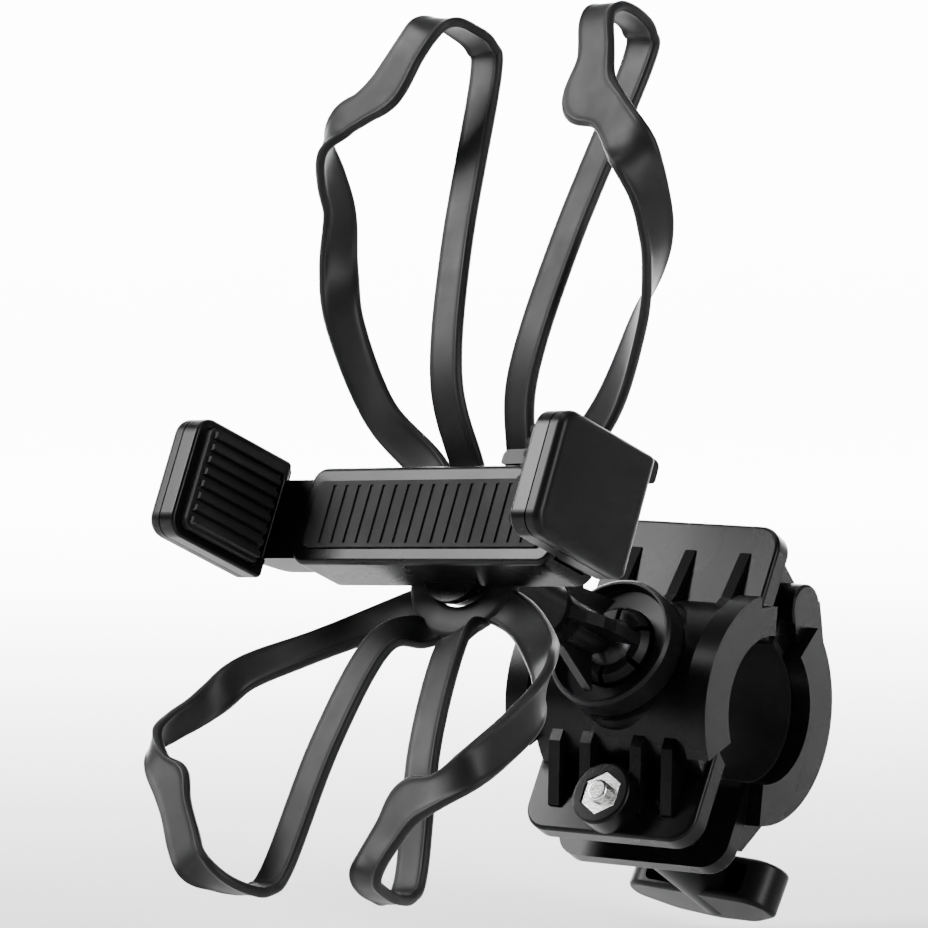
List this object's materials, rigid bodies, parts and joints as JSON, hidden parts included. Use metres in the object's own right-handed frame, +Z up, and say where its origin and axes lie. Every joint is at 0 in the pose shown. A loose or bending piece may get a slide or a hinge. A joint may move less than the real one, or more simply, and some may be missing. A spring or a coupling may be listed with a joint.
{
  "type": "phone handlebar mount",
  "caption": "Phone holder for a handlebar: hinged split clamp with a thumb knob, ball joint with lock ring, finned stem, rack-driven gripping jaws and a stretch strap over the corners.",
  "frame": {"origin": "centre of the handlebar bore, on the bar's axis midway along the clamp", "axes": "+X along the handlebar to the rider-facing view's right, +Y away from the rider-facing side, +Z up; the clamp is rolled back 30 degrees on the bar and the cradle leans back with it"},
  "size_m": [0.0952, 0.1248, 0.1628],
  "materials": {
    "body_plastic": "black glass-filled nylon, satin moulded skin",
    "trim_plastic": "black satin moulded plastic",
    "inner_plastic": "dark acetal, smooth",
    "pad_rubber": "black ribbed rubber, matte",
    "liner_rubber": "black rubber, matte",
    "strap_silicone": "dark grey silicone, soft matte",
    "zinc_steel": "bright zinc plated steel",
    "ball_steel": "blackened steel"
  },
  "bodies": {
    "clamp": {"clamp_front_shell": "body_plastic", "front_liner": "liner_rubber", "hinge_pin": "zinc_steel", "clamp_nut": "zinc_steel"},
    "rear_half": {"clamp_rear_shell": "body_plastic", "rear_liner": "liner_rubber"},
    "washer": {"thrust_washer": "zinc_steel"},
    "knob": {"thumb_knob": "trim_plastic", "clamp_bolt": "zinc_steel"},
    "ring": {"lock_ring": "trim_plastic"},
    "collet": {"ball_collet": "inner_plastic"},
    "ball": {"ball_stud": "ball_steel", "stud_clip": "zinc_steel"},
    "cradle": {"finned_stem": "body_plastic", "cradle_housing": "body_plastic", "back_cover": "body_plastic", "cover_screws": "zinc_steel", "front_pad": "pad_rubber", "pinion_pin": "zinc_steel", "button_spring": "zinc_steel", "strap": "strap_silicone"},
    "gear": {"pinion": "inner_plastic"},
    "right_jaw": {"right_jaw_arm": "body_plastic", "right_jaw_cover": "trim_plastic", "right_jaw_pad": "pad_rubber"},
    "left_jaw": {"left_jaw_arm": "body_plastic", "left_jaw_cover": "trim_plastic", "left_jaw_pad": "pad_rubber"},
    "button": {"release_button": "trim_plastic"}
  },
  "joints": [
    {"name": "rear_half_swing", "type": "hinge", "parent": "clamp", "child": "rear_half", "pos_m": [0, 0.01482, 0.01627], "axis": [1, 0, 0], "range_deg": [-0.1, 3.13]},
    {"name": "washer_travel", "type": "slide", "parent": "clamp", "child": "washer", "axis": [0, 0.866, -0.5], "range_m": [0, 0.0021]},
    {"name": "knob_turn", "type": "hinge", "parent": "washer", "child": "knob", "pos_m": [0, 0.00602, -0.02957], "axis": [0, 0.866, -0.5], "range_deg": [-6, 1086]},
    {"name": "lock_ring_turn", "type": "hinge", "parent": "clamp", "child": "ring", "pos_m": [0, -0.01672, 0.01104], "axis": [0, 0.866, -0.5], "range_deg": [-30, 180]},
    {"name": "ball_swivel", "type": "hinge", "parent": "clamp", "child": "collet", "pos_m": [0, -0.01672, 0.01104], "axis": [0, 0.866, -0.5], "continuous": true},
    {"name": "ball_tilt", "type": "hinge", "parent": "collet", "child": "ball", "pos_m": [0, -0.01672, 0.01104], "axis": [0.4438, -0.4481, -0.7761], "range_deg": [-25, 4]},
    {"name": "cradle_turn", "type": "hinge", "parent": "ball", "child": "cradle", "pos_m": [0, -0.01672, 0.01104], "axis": [0.1619, 0.8919, -0.4223], "continuous": true},
    {"name": "pinion_turn", "type": "hinge", "parent": "cradle", "child": "gear", "pos_m": [-0.0076, -0.05679, 0.03527], "axis": [0.1619, 0.8919, -0.4223], "range_deg": [-122, 130]},
    {"name": "right_jaw_slide", "type": "slide", "parent": "cradle", "child": "right_jaw", "axis": [0.9868, -0.1504, 0.0607], "range_m": [-0.0074, 0.0079]},
    {"name": "left_jaw_slide", "type": "slide", "parent": "cradle", "child": "left_jaw", "axis": [-0.9868, 0.1504, -0.0607], "range_m": [-0.0076, 0.0081]},
    {"name": "release_press", "type": "slide", "parent": "cradle", "child": "button", "axis": [-0.0094, -0.4266, -0.9044], "range_m": [0, 0.0012], "stiffness_N_per_m": 400, "springref_m": -0.0005, "deforming": ["button_spring"]}
  ],
  "couplings": [
    {"joint": "knob_turn", "follows": "washer_travel", "rad_per_m": 8976},
    {"joint": "rear_half_swing", "follows": "washer_travel", "rad_per_m": 22.676},
    {"joint": "pinion_turn", "follows": "right_jaw_slide", "rad_per_m": 285.71},
    {"joint": "left_jaw_slide", "follows": "right_jaw_slide", "ratio": 1}
  ]
}
